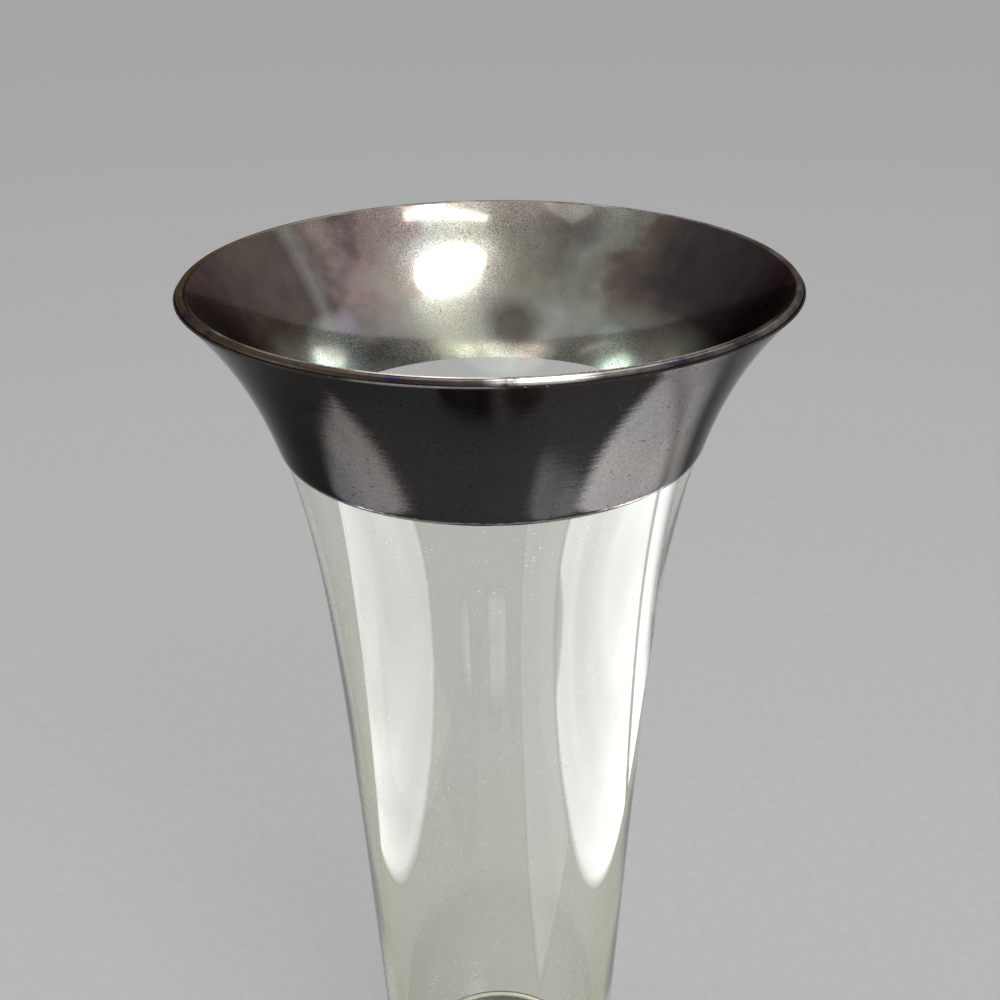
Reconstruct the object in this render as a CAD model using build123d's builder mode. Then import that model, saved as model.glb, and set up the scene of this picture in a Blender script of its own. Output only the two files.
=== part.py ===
from build123d import *

import os
from math import atan, cos, exp, hypot, sin

# A clear glass trumpet vase with a deep silver collar and a loaded silver foot.
# Lengths are in millimetres. The origin is the middle of the underside, and +Z runs up the axis.
# Nearly every piece is round about that axis: its section is drawn in the XZ plane and turned.
# Sections are made of lines and arcs alone, so that every face is a plain one.

# Whole vase
overall_height = 254.0

# Glass trumpet: a straight taper that opens into an exponential flare at the mouth
body_radius = 31.9
heel_radius = 22.3
flare_width = 16.5
flare_depth = 21.2
flare_arcs = 2
throat_depth = 90.0
throat_arcs = 3
lip_wall = 1.0
heel_wall = 2.4
glass_floor = 9.0
heel_round = 12.0
well_round = 9.0

# Silver collar: an outer sleeve and an inner lining, closed over the lip by a round wire
collar_depth = 25.7
collar_sheet = 0.3
cement_film = 0.2
sleeve_edge_rise = 0.5
lining_edge_drop = 0.1
burnished_length = 1.2
burnished_sheet = 0.12
solder_gap = 0.02

# Socket: a spun cup that holds the heel of the glass in plaster, with a wire round its edge
cup_height = 26.0
cup_sheet = 0.5
plaster_wall = 0.5
cup_round = 12.5
plaster_floor = 1.0
cup_wire_height = 2.4
cup_wire_bulge = 1.2

# Stem: a turned knop between the cup and the foot, with an annulet at each end
knop_height = 14.0
knop_radius = 12.2
cushion_height = 8.0
neck_radius = 7.0
annulet_radius = 9.4
annulet_height = 1.8
annulet_bulge = 0.9

# Tie bolt, which draws the cup, the knop and the foot together
bolt_radius = 2.5
bolt_clearance = 0.15
bolt_head_radius = 6.0
bolt_head_height = 1.8
bolt_tail = 2.0
thread_clearance = 0.05
washer_radius = 6.5
washer_height = 1.0
nut_flats = 8.0
nut_height = 4.0

# Foot: a spun dome with a crown, a sloping flank and a short skirt with a reeded border
foot_height = 23.0
foot_radius = 44.0
foot_sheet = 0.6
crown_radius = 12.8
crown_round = 2.4
knee_level = 15.6
knee_round = 5.5
brim_level = 7.2
brim_round = 3.2
border_thickness = 1.4
border_height = 3.9
reed_count = 3
reed_bulge = 0.5
disc_height = 1.6
disc_clearance = 0.1
baize_height = 1.2
baize_stand = 0.5

# How far a cutting shape runs on past its work
cut_overrun = 1.0

# Levels, from the table up
disc_top = baize_height + disc_height
knop_top = foot_height + knop_height
cup_floor = knop_top + cup_sheet
cup_top = knop_top + cup_height
glass_foot = cup_floor + bolt_head_height + plaster_floor
crown_underside = foot_height - foot_sheet
washer_foot = crown_underside - washer_height
nut_foot = washer_foot - nut_height
bolt_end = nut_foot - bolt_tail

# The wire nearly fills the channel that the two sheets leave above the lip of the glass.
# Rises are measured along the sloping wall, from the middle of the rounded lip.
rim_wire_radius = lip_wall / 2 + cement_film - solder_gap
rim_wire_rise = lip_wall / 2 + cement_film + rim_wire_radius
body_taper = (body_radius - heel_radius) / (overall_height - glass_foot)
lip_lean = body_taper + flare_width / flare_depth
lip_slope = hypot(1, lip_lean)
lip_level = overall_height - rim_wire_radius - (rim_wire_rise + lip_wall / 2 * lip_lean) / lip_slope


def glass_lean(depth):
    # How much the wall widens for each millimetre of height, at a depth below the lip.
    return body_taper + flare_width / flare_depth * exp(-max(depth, 0) / flare_depth)


def glass_radius(depth):
    # The outer radius of the glass. Above the lip, the collar runs straight on.
    if depth < 0:
        return glass_radius(0) - lip_lean * depth
    return body_radius - body_taper * depth + flare_width * exp(-depth / flare_depth)


def glass_wall(depth):
    # The glass thickens evenly from the lip to the heel.
    return lip_wall + (heel_wall - lip_wall) * max(depth, 0) / (lip_level - glass_foot)


def wall_point(depth, inset):
    # The point that lies an inset deep in the wall, square to the outer face of the glass.
    lean = glass_lean(depth)
    slope = hypot(1, lean)
    return (glass_radius(depth) - inset / slope, lip_level - depth + inset * lean / slope)


def outer_point(depth, gap=0):
    # The point that lies a gap outside the glass.
    return wall_point(depth, -gap)


def inner_point(depth, gap=0):
    # The point that lies a gap inside the bore of the glass.
    return wall_point(depth, glass_wall(depth) + gap)


def rise(length):
    # The depth, below zero, that lies a length up the straight wall above the lip.
    return -length / lip_slope


rim_wire_depth = rise(rim_wire_rise)
sleeve_edge = rim_wire_depth + rise(sleeve_edge_rise)
lining_edge = rim_wire_depth - rise(lining_edge_drop)
open_end = sleeve_edge + rise(cut_overrun)


def stretch(side, gap, top, bottom, arcs):
    # A row of arcs down one side of the wall at a gap, between two depths.
    step = (bottom - top) / arcs
    for arc in range(arcs):
        start = top + step * arc
        ThreePointArc(side(start, gap), side(start + step / 2, gap), side(start + step, gap))


def form(side, gap, floor_level, corner):
    # Everything inside a face that follows one side of the glass at a gap, down to a floor.
    turn = atan(body_taper)
    wall_end = lip_level - floor_level - corner * (1 - sin(turn))
    with BuildSketch(mode=Mode.PRIVATE) as filled:
        with BuildLine():
            stretch(side, gap, 0, collar_depth, flare_arcs)
            stretch(side, gap, collar_depth, throat_depth, throat_arcs)
            body = Line(side(throat_depth, gap), side(wall_end, gap))
            heel_end = ((body @ 1).X - corner * cos(turn), floor_level)
            TangentArc(body @ 1, heel_end, tangent=body % 1)
            mouth = side(open_end, gap)
            Polyline(heel_end, (0, floor_level), (0, mouth[1]), mouth, side(0, gap))
        make_face()
    return filled.sketch


def collar_band(top, bottom):
    # The stretch of the wall between two depths, cut off square to it.
    reach = heel_wall + cement_film + collar_sheet + cut_overrun
    with BuildSketch(mode=Mode.PRIVATE) as band:
        with BuildLine():
            Polyline(
                outer_point(top, reach),
                outer_point(bottom, reach),
                inner_point(bottom, reach),
                inner_point(top, reach),
                close=True,
            )
        make_face()
    return band.sketch


def level_band(bottom, top, radius):
    # A plain rectangle beside the axis, between two levels.
    with BuildSketch(mode=Mode.PRIVATE) as band:
        with Locations((0, bottom)):
            Rectangle(radius, top - bottom, align=(Align.MIN, Align.MIN))
    return band.sketch


os.makedirs("parts", exist_ok=True)

# Glass trumpet, with a rounded lip and a thick rounded heel
with BuildPart() as glass_trumpet:
    with BuildSketch(Plane.XZ) as glass_section:
        add(form(outer_point, 0, glass_foot, heel_round))
        add(form(inner_point, 0, glass_foot + glass_floor, well_round), mode=Mode.SUBTRACT)
        add(collar_band(open_end + rise(cut_overrun), 0), mode=Mode.SUBTRACT)
        with Locations(wall_point(0, lip_wall / 2)):
            Circle(lip_wall / 2)
    revolve(axis=Axis.Z)
glass_trumpet.part.label = "glass_trumpet"
export_step(glass_trumpet.part, "parts/glass_trumpet.step")

# Outer sleeve of the collar, burnished thin at its lower edge
with BuildPart() as collar_sleeve:
    with BuildSketch(Plane.XZ):
        add(form(outer_point, cement_film + collar_sheet, glass_foot, heel_round))
        add(form(outer_point, cement_film, glass_foot, heel_round), mode=Mode.SUBTRACT)
        add(collar_band(sleeve_edge, collar_depth), mode=Mode.INTERSECT)
        with BuildLine():
            Polyline(
                outer_point(collar_depth - burnished_length, cement_film + collar_sheet),
                outer_point(collar_depth, cement_film + burnished_sheet),
                outer_point(collar_depth, cement_film + collar_sheet + cut_overrun),
                close=True,
            )
        make_face(mode=Mode.SUBTRACT)
    revolve(axis=Axis.Z)
collar_sleeve.part.label = "collar_sleeve"
export_step(collar_sleeve.part, "parts/collar_sleeve.step")

# Inner lining of the collar
with BuildPart() as collar_lining:
    with BuildSketch(Plane.XZ):
        add(form(inner_point, cement_film, glass_foot, heel_round))
        add(form(inner_point, cement_film + collar_sheet, glass_foot, heel_round), mode=Mode.SUBTRACT)
        add(collar_band(lining_edge, collar_depth), mode=Mode.INTERSECT)
    revolve(axis=Axis.Z)
collar_lining.part.label = "collar_lining"
export_step(collar_lining.part, "parts/collar_lining.step")

# Bedding of the collar, a film of cement that fills the channel up to the wire
with BuildPart() as collar_cement:
    with BuildSketch(Plane.XZ):
        add(form(outer_point, cement_film, glass_foot, heel_round))
        add(form(inner_point, cement_film, glass_foot, heel_round), mode=Mode.SUBTRACT)
        add(collar_band(rise(lip_wall / 2 + cement_film), collar_depth), mode=Mode.INTERSECT)
        add(glass_section.sketch_local, mode=Mode.SUBTRACT)
    revolve(axis=Axis.Z)
collar_cement.part.label = "collar_cement"
export_step(collar_cement.part, "parts/collar_cement.step")

# Rim wire, soldered in the channel between the sleeve and the lining
with BuildPart() as rim_wire:
    with BuildSketch(Plane.XZ):
        with Locations(wall_point(rim_wire_depth, lip_wall / 2)):
            Circle(rim_wire_radius)
    revolve(axis=Axis.Z)
rim_wire.part.label = "rim_wire"
export_step(rim_wire.part, "parts/rim_wire.step")

# Socket cup, parallel to the heel of the glass
with BuildSketch(Plane.XZ) as cup_outside:
    add(form(outer_point, plaster_wall + cup_sheet, knop_top, cup_round + cup_sheet))

with BuildPart() as socket_cup:
    with BuildSketch(Plane.XZ):
        add(cup_outside.sketch_local)
        add(form(outer_point, plaster_wall, cup_floor, cup_round), mode=Mode.SUBTRACT)
        add(level_band(knop_top, cup_top, body_radius), mode=Mode.INTERSECT)
    revolve(axis=Axis.Z)
    with Locations((0, 0, cup_floor)):
        Hole(bolt_radius + bolt_clearance)
socket_cup.part.label = "socket_cup"
export_step(socket_cup.part, "parts/socket_cup.step")

# Wire round the edge of the cup, flat against it and round outside
with BuildPart() as socket_wire:
    with BuildSketch(Plane.XZ):
        wire_level = cup_top - cup_wire_height / 2
        with Locations(outer_point(lip_level - wire_level, plaster_wall + cup_sheet)):
            Ellipse(cup_wire_bulge, cup_wire_height / 2)
        add(cup_outside.sketch_local, mode=Mode.SUBTRACT)
    revolve(axis=Axis.Z)
socket_wire.part.label = "socket_wire"
export_step(socket_wire.part, "parts/socket_wire.step")

# Bolt that draws the cup, the knop and the foot together, with its flat head in the cup
with BuildPart() as tie_bolt:
    with BuildSketch(Plane.XY.offset(bolt_end)):
        Circle(bolt_radius)
    extrude(amount=cup_floor - bolt_end)
    with BuildSketch(Plane.XY.offset(cup_floor)):
        Circle(bolt_head_radius)
    extrude(amount=bolt_head_height)
tie_bolt.part.label = "tie_bolt"
export_step(tie_bolt.part, "parts/tie_bolt.step")

# Plaster that beds the heel of the glass in the cup, cast round the head of the bolt
with BuildPart() as socket_plaster:
    with BuildSketch(Plane.XZ):
        add(form(outer_point, plaster_wall, cup_floor, cup_round))
        add(form(outer_point, 0, glass_foot, heel_round), mode=Mode.SUBTRACT)
        add(level_band(cup_floor, cup_top, body_radius), mode=Mode.INTERSECT)
    revolve(axis=Axis.Z)
    add(tie_bolt.part, mode=Mode.SUBTRACT)
socket_plaster.part.label = "socket_plaster"
export_step(socket_plaster.part, "parts/socket_plaster.step")

# Knop: a cushion on a neck, with an annulet at each end and a bore for the bolt
with BuildPart() as stem_knop:
    with BuildSketch(Plane.XZ):
        middle = foot_height + knop_height / 2
        beads = (
            (middle, cushion_height, neck_radius, knop_radius),
            (foot_height + annulet_height / 2, annulet_height, annulet_radius - annulet_bulge, annulet_radius),
            (knop_top - annulet_height / 2, annulet_height, annulet_radius - annulet_bulge, annulet_radius),
        )
        add(level_band(foot_height, knop_top, neck_radius))
        for level, height, root, crest in beads:
            with BuildLine():
                bead = ThreePointArc(
                    (root, level - height / 2),
                    (crest, level),
                    (root, level + height / 2),
                )
                Polyline(bead @ 1, (0, level + height / 2), (0, level - height / 2), bead @ 0)
            make_face()
    revolve(axis=Axis.Z)
    with Locations((0, 0, middle)):
        Hole(bolt_radius + bolt_clearance)
stem_knop.part.label = "stem_knop"
export_step(stem_knop.part, "parts/stem_knop.step")

# Foot dome, spun as one piece: a flat crown, a knee, a sloping flank, a round brim and a skirt
with BuildPart() as foot_dome:
    with BuildSketch(Plane.XZ) as dome_section:
        crown_edge = (crown_radius, foot_height)
        knee = (crown_radius, knee_level)
        brim = (foot_radius, brim_level)
        with BuildLine():
            Polyline((0, baize_stand), (0, foot_height), crown_edge, knee, brim)
            Polyline(brim, (foot_radius, baize_stand), (0, baize_stand))
        make_face()
        for corner, corner_round in ((crown_edge, crown_round), (knee, knee_round), (brim, brim_round)):
            fillet(dome_section.vertices().sort_by_distance(corner)[0], radius=corner_round)
    revolve(axis=Axis.Z)

# Foot shell, the dome worked down to a sheet and pierced for the bolt
with BuildPart() as foot_shell:
    add(foot_dome.part)
    offset(amount=-foot_sheet, openings=foot_shell.faces().sort_by(Axis.Z)[0])
    with Locations((0, 0, foot_height)):
        Hole(bolt_radius + bolt_clearance)
foot_shell.part.label = "foot_shell"
export_step(foot_shell.part, "parts/foot_shell.step")

# Border round the skirt, rolled with a row of reeds
with BuildPart() as foot_border:
    with BuildSketch(Plane.XZ):
        with BuildLine():
            reed_root = foot_radius + border_thickness - reed_bulge
            reed_height = border_height / reed_count
            for reed in range(reed_count):
                reed_foot = baize_stand + reed_height * reed
                ThreePointArc(
                    (reed_root, reed_foot),
                    (reed_root + reed_bulge, reed_foot + reed_height / 2),
                    (reed_root, reed_foot + reed_height),
                )
            border_top = baize_stand + border_height
            Polyline((reed_root, border_top), (foot_radius, border_top))
            Polyline((foot_radius, border_top), (foot_radius, baize_stand), (reed_root, baize_stand))
        make_face()
    revolve(axis=Axis.Z)
foot_border.part.label = "foot_border"
export_step(foot_border.part, "parts/foot_border.step")

# Washer and nut that hold the bolt under the crown of the foot
with BuildPart() as tie_washer:
    with BuildSketch(Plane.XY.offset(washer_foot)):
        Circle(washer_radius)
        Circle(bolt_radius + bolt_clearance, mode=Mode.SUBTRACT)
    extrude(amount=washer_height)
tie_washer.part.label = "tie_washer"
export_step(tie_washer.part, "parts/tie_washer.step")

with BuildPart() as tie_nut:
    with BuildSketch(Plane.XY.offset(nut_foot)):
        RegularPolygon(nut_flats / 2, 6, major_radius=False)
        Circle(bolt_radius + thread_clearance, mode=Mode.SUBTRACT)
    extrude(amount=nut_height)
tie_nut.part.label = "tie_nut"
export_step(tie_nut.part, "parts/tie_nut.step")

# Pitch that fills the foot and gives it weight
with BuildPart() as foot_loading:
    add(foot_dome.part)
    add(foot_shell.part, mode=Mode.SUBTRACT)
    split(bisect_by=Plane.XY.offset(crown_underside), keep=Keep.BOTTOM)
    split(bisect_by=Plane.XY.offset(disc_top), keep=Keep.TOP)
    add(tie_washer.part, mode=Mode.SUBTRACT)
    add(tie_nut.part, mode=Mode.SUBTRACT)
    with Locations((0, 0, crown_underside)):
        Hole(bolt_radius + bolt_clearance, depth=crown_underside - bolt_end)
foot_loading.part.label = "foot_loading"
export_step(foot_loading.part, "parts/foot_loading.step")

# Disc that closes the foot, and the baize glued under it
with BuildPart() as base_disc:
    with BuildSketch(Plane.XY.offset(baize_height)):
        Circle(foot_radius - foot_sheet - disc_clearance)
    extrude(amount=disc_height)
base_disc.part.label = "base_disc"
export_step(base_disc.part, "parts/base_disc.step")

with BuildPart() as baize_pad:
    with BuildSketch(Plane.XY):
        Circle(foot_radius - foot_sheet - disc_clearance)
    extrude(amount=baize_height)
baize_pad.part.label = "baize_pad"
export_step(baize_pad.part, "parts/baize_pad.step")
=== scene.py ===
# %% [markdown]
# # A silver-mounted glass trumpet vase
# A clear glass trumpet stands in a weighted silver foot, and a deep silver collar covers its lip.
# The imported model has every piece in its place. This file draws the pieces that show again from
# the same sizes, with finer shapes, and adds the finishes, the light and the camera, one small
# step at a time.

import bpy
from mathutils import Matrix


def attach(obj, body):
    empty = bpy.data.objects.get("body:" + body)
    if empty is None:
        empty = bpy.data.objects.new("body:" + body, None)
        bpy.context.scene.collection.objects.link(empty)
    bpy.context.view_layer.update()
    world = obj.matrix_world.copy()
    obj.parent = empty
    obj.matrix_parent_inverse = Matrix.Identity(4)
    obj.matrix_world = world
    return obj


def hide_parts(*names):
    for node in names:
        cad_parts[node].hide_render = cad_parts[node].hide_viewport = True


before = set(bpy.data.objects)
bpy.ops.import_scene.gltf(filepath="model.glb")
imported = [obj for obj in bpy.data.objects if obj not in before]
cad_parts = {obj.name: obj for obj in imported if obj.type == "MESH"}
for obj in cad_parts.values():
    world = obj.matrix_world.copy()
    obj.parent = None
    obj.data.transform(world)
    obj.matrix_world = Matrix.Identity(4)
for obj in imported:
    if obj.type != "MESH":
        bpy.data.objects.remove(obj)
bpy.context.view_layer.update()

# %% [markdown]
# ## Units and small helpers
# Blender works in metres, but a silversmith thinks in millimetres, so sections are written in
# millimetres and turned into metres as they are drawn.
# Almost every piece is round about one upright axis. On the bench it is spun or turned, and here
# its section is drawn once and bmesh spins it about the axis, as a lathe would.

# %% Helpers for turned pieces
from math import acos, atan, atan2, cos, exp, hypot, pi, radians, sin, tan

import bmesh
import bpy
from mathutils import Matrix, Vector

MM = 0.001
TURN_STEPS = 240
WELD = 1e-6
CREASE = radians(32)


def arc(centre, radius, start, end, count):
    """Points on an arc, in millimetres, between two angles in degrees."""
    return [
        (
            centre[0] + radius * cos(radians(start + (end - start) * i / count)),
            centre[1] + radius * sin(radians(start + (end - start) * i / count)),
        )
        for i in range(count + 1)
    ]


def divide(start, end, count):
    """Points evenly along a straight line."""
    return [
        (start[0] + (end[0] - start[0]) * i / count, start[1] + (end[1] - start[1]) * i / count)
        for i in range(count + 1)
    ]


def finish_mesh(name, bm, replaces):
    """Turns a finished bmesh into a piece that rides on the frame."""
    for face in bm.faces:
        face.smooth = True
    for edge in bm.edges:
        edge.smooth = edge.calc_face_angle(0) < CREASE
    mesh = bpy.data.meshes.new(name)
    bm.to_mesh(mesh)
    bm.free()
    piece = bpy.data.objects.new(name, mesh)
    bpy.context.scene.collection.objects.link(piece)
    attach(piece, "root")
    if replaces:
        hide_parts(*replaces)
    size = piece.dimensions * 1000
    print(f"{name}: {len(mesh.polygons)} faces, {size.x:.1f} x {size.y:.1f} x {size.z:.1f} mm")
    return piece


def turned(name, section, replaces=(), closed=True, steps=TURN_STEPS):
    """Spins a section of (radius, height) points about the upright axis."""
    bm = bmesh.new()
    points = [bm.verts.new((x * MM, 0, z * MM)) for x, z in section]
    pairs = list(zip(points, points[1:]))
    if closed:
        pairs.append((points[-1], points[0]))
    outline = [bm.edges.new(pair) for pair in pairs]
    bmesh.ops.spin(
        bm, geom=points + outline, cent=(0, 0, 0), axis=(0, 0, 1), angle=2 * pi,
        steps=steps, use_merge=True, use_duplicate=False,
    )
    bmesh.ops.remove_doubles(bm, verts=bm.verts, dist=WELD)
    bmesh.ops.recalc_face_normals(bm, faces=bm.faces)
    return finish_mesh(name, bm, replaces)


# %% [markdown]
# ## The line of the trumpet
# A blown trumpet tapers evenly for most of its height and then opens faster and faster.
# A straight taper plus an exponential gives that line with four numbers. The collar follows
# the same line a little further out and in, so one function serves the glass and the silver.

# %% The line of the trumpet
OVERALL_HEIGHT = 254.0
BODY_RADIUS = 31.9
HEEL_RADIUS = 22.3
FLARE_WIDTH = 16.5
FLARE_DEPTH = 21.2
LIP_WALL = 1.0
HEEL_WALL = 2.4
CEMENT = 0.2
SHEET = 0.3
GLASS_FOOT = 40.3
WIRE_PLAY = 0.02
RIM_WIRE = LIP_WALL / 2 + CEMENT - WIRE_PLAY

taper = (BODY_RADIUS - HEEL_RADIUS) / (OVERALL_HEIGHT - GLASS_FOOT)
lip_lean = taper + FLARE_WIDTH / FLARE_DEPTH
lip_slope = hypot(1, lip_lean)
wire_rise = LIP_WALL / 2 + CEMENT + RIM_WIRE
LIP_LEVEL = OVERALL_HEIGHT - RIM_WIRE - (wire_rise + LIP_WALL / 2 * lip_lean) / lip_slope


def wall(depth, inset):
    """The point an inset deep in the wall, at a depth below the lip, in millimetres."""
    below = max(depth, 0)
    lean = taper + FLARE_WIDTH / FLARE_DEPTH * exp(-below / FLARE_DEPTH)
    radius = BODY_RADIUS - taper * below + FLARE_WIDTH * exp(-below / FLARE_DEPTH)
    radius -= min(depth, 0) * lip_lean
    slope = hypot(1, lean)
    return (radius - inset / slope, LIP_LEVEL - depth + inset * lean / slope)


def thickness(depth):
    """The wall of the glass, which thickens from the lip to the heel."""
    return LIP_WALL + (HEEL_WALL - LIP_WALL) * max(depth, 0) / (LIP_LEVEL - GLASS_FOOT)


def outside(depth, gap=0):
    """A point on the outer face of the glass, or a gap outside it."""
    return wall(depth, -gap)


def inside(depth, gap=0):
    """A point on the inner face of the glass, or a gap inside the bore."""
    return wall(depth, thickness(depth) + gap)


def depths(top, bottom, count):
    """Depths that lie closer together near the top, where the wall curves most."""
    return [top + (bottom - top) * (i / count) ** 1.4 for i in range(count + 1)]


print("the lip of the glass is at", round(LIP_LEVEL, 2), "mm")

# %% [markdown]
# ## The glass
# The real trumpet is blown in a mould, its lip is fire-polished round, and its heel is left thick.
# One section, from the middle of the heel up the outside, over the lip and down the bore, spins
# into a solid wall, which is what lets light bend through it as it does in real glass. A row
# across each flat keeps its faces from becoming long slivers.

# %% The glass trumpet
HEEL_ROUND = 12.0
WELL_ROUND = 9.0
GLASS_FLOOR = 9.0
GLASS_ROWS = 56
FLAT_ROW = 4.0
turn = atan(taper)


def heel(side, floor_level, corner, count=12):
    """The rounded corner between the wall and a floor, and the depth where it starts."""
    end = LIP_LEVEL - floor_level - corner * (1 - sin(turn))
    x, z = side(end)
    centre = (x - corner * cos(turn), z + corner * sin(turn))
    start = -turn * 180 / pi
    return end, arc(centre, corner, start, -90, count)


outer_end, outer_heel = heel(outside, GLASS_FOOT, HEEL_ROUND)
inner_end, inner_heel = heel(inside, GLASS_FOOT + GLASS_FLOOR, WELL_ROUND)
lip_turn = atan(lip_lean) * 180 / pi
lip = arc(wall(0, LIP_WALL / 2), LIP_WALL / 2, -lip_turn, 180 - lip_turn, 10)

under, well = outer_heel[-1][1], inner_heel[-1][1]
glass_section = [(0, under)] + divide((FLAT_ROW, under), outer_heel[-1], 2)[:-1]
glass_section += outer_heel[::-1]
glass_section += [outside(d) for d in depths(0, outer_end, GLASS_ROWS)[::-1][1:-1]]
glass_section += lip
glass_section += [inside(d) for d in depths(0, inner_end, GLASS_ROWS)[1:-1]]
glass_section += inner_heel + [(FLAT_ROW, well), (0, well)]
glass = turned("glass", glass_section, ["glass_trumpet"], closed=False)

# %% [markdown]
# ## The collar
# A collar like this is two thin cones of silver sheet, one outside the glass and one inside.
# A round wire closes the gap over the lip, and cement holds it all. The lower edge of the
# outer cone is rubbed down thin against the glass with a burnisher, and never comes out quite
# true, so its edge is drawn with a very small bevel and the finish makes it a little ragged.

# %% The collar's sleeve, lining and wire
COLLAR_DEPTH = 25.7
BURNISH = 1.2
BURNISHED_SHEET = 0.12
EDGE_BEVEL = 0.08
SLEEVE_PAST_WIRE = 0.5
LINING_SHORT_OF_WIRE = 0.1
wire_depth = -wire_rise / lip_slope
sleeve_edge = wire_depth - SLEEVE_PAST_WIRE / lip_slope
lining_edge = wire_depth + LINING_SHORT_OF_WIRE / lip_slope
ROWS = 34


def sheet_section(side, near, far, top, bottom):
    """A closed section between two gaps from the wall, from one depth to another."""
    levels = [top + (bottom - top) * i / ROWS for i in range(ROWS + 1)]
    return [side(d, far) for d in levels] + [side(d, near) for d in levels[::-1]]


sleeve_levels = depths(sleeve_edge, COLLAR_DEPTH - BURNISH, ROWS)
sleeve_section = [outside(d, CEMENT + SHEET) for d in sleeve_levels]
sleeve_section += [
    outside(COLLAR_DEPTH - BURNISH * 0.5, CEMENT + (SHEET + BURNISHED_SHEET) / 2 + 0.02),
    outside(COLLAR_DEPTH - EDGE_BEVEL, CEMENT + BURNISHED_SHEET),
    outside(COLLAR_DEPTH, CEMENT + BURNISHED_SHEET * 0.6),
]
sleeve_section += [outside(d, CEMENT) for d in ([COLLAR_DEPTH] + sleeve_levels[::-1])]
sleeve = turned("collar_sleeve_silver", sleeve_section, ["collar_sleeve"])

lining = turned(
    "collar_lining_silver",
    sheet_section(inside, CEMENT, CEMENT + SHEET, lining_edge, COLLAR_DEPTH),
    ["collar_lining"],
)

wire = turned(
    "rim_wire_silver", arc(wall(wire_depth, LIP_WALL / 2), RIM_WIRE, 0, 360, 18)[:-1],
    ["rim_wire"],
)

# %% [markdown]
# ## The socket cup
# The heel of the glass sits in a spun cup, bedded in plaster. The cup runs parallel to the glass,
# and a half-round wire stiffens its edge. Here the cup takes its outline from the line of the
# glass, a little further out, so the two always fit.

# %% The socket cup and its wire
KNOP_TOP = 37.0
CUP_TOP = 63.0
CUP_SHEET = 0.5
PLASTER = 0.5
CUP_ROUND = 12.5
CUP_FLOOR = KNOP_TOP + CUP_SHEET
BORE = 2.65
WIRE_HEIGHT = 2.4
WIRE_BULGE = 1.2
CUP_ROWS = 10
CUP_ROUND_STEPS = 18
CUP_FLAT_ROW = 9.0

cup_out_end, cup_out = heel(
    lambda d: outside(d, PLASTER + CUP_SHEET), KNOP_TOP, CUP_ROUND + CUP_SHEET, CUP_ROUND_STEPS
)
cup_in_end, cup_in = heel(
    lambda d: outside(d, PLASTER), CUP_FLOOR, CUP_ROUND, CUP_ROUND_STEPS
)
cup_depth = LIP_LEVEL - CUP_TOP
cup_section = [
    outside(cup_depth + (cup_out_end - cup_depth) * i / CUP_ROWS, PLASTER + CUP_SHEET)
    for i in range(CUP_ROWS)
]
cup_section += cup_out + [(CUP_FLAT_ROW, KNOP_TOP), (BORE, KNOP_TOP)]
cup_section += [(BORE, CUP_FLOOR), (CUP_FLAT_ROW, CUP_FLOOR)] + cup_in[::-1]
cup_section += [
    outside(cup_in_end + (cup_depth - cup_in_end) * i / CUP_ROWS, PLASTER)
    for i in range(1, CUP_ROWS + 1)
]
cup_section = [(x, min(z, CUP_TOP)) for x, z in cup_section]
cup = turned("socket_cup_silver", cup_section, ["socket_cup"])

wire_level = CUP_TOP - WIRE_HEIGHT / 2
wire_x, wire_z = outside(LIP_LEVEL - wire_level, PLASTER + CUP_SHEET)
bulge = [
    (wire_x + WIRE_BULGE * cos(radians(a)), wire_z + WIRE_HEIGHT / 2 * sin(radians(a)))
    for a in range(-90, 91, 10)
]
cup_wire = turned("socket_wire_silver", bulge, ["socket_wire"])

# %% [markdown]
# ## The plaster bed
# Plaster is poured into the cup and takes the shape of everything that it touches: the cup outside,
# the glass inside and the head of the bolt below. It shows through the clear heel of the glass, so
# it is turned as finely as the glass and stands off it by a hair, as plaster does once dry.

# %% The plaster bed
SHRINK = 0.02
BOLT_HEAD_RADIUS = 6.0
BOLT_HEAD_HEIGHT = 1.8
bed_out_end, bed_out = heel(
    lambda d: outside(d, PLASTER - SHRINK), CUP_FLOOR + SHRINK, CUP_ROUND - SHRINK,
    CUP_ROUND_STEPS,
)
bed_in_end, bed_in = heel(lambda d: outside(d, SHRINK), GLASS_FOOT - SHRINK, HEEL_ROUND + SHRINK)
bolt_top = CUP_FLOOR + BOLT_HEAD_HEIGHT + SHRINK
bolt_side = BOLT_HEAD_RADIUS + SHRINK
bed_section = [(0, bolt_top), (bolt_side, bolt_top), (bolt_side, CUP_FLOOR + SHRINK)]
bed_section += bed_out[::-1]
bed_section += [
    outside(bed_out_end + (cup_depth - bed_out_end) * i / CUP_ROWS, PLASTER - SHRINK)
    for i in range(1, CUP_ROWS + 1)
]
bed_section += [
    outside(cup_depth + (bed_in_end - cup_depth) * i / CUP_ROWS, SHRINK) for i in range(CUP_ROWS)
]
bed_section += bed_in + [(FLAT_ROW, GLASS_FOOT - SHRINK), (0, GLASS_FOOT - SHRINK)]
bed_section = [(x, min(z, CUP_TOP - SHRINK)) for x, z in bed_section]
bed = turned("plaster_bed", bed_section, ["socket_plaster"], closed=False)

# %% [markdown]
# ## The stem
# A cast knop is turned on the lathe between two small rings. Small bevels at its necks catch
# the light, as tool marks do, and give it a softer look than a plain stack of discs.

# %% The knop
KNOP_FOOT = 23.0
KNOP_MIDDLE = (KNOP_FOOT + KNOP_TOP) / 2
KNOP_RADIUS = 12.2
CUSHION = 8.0
NECK = 7.0
RING_RADIUS = 9.4
RING_HEIGHT = 1.8
RING_BULGE = 0.9


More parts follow.
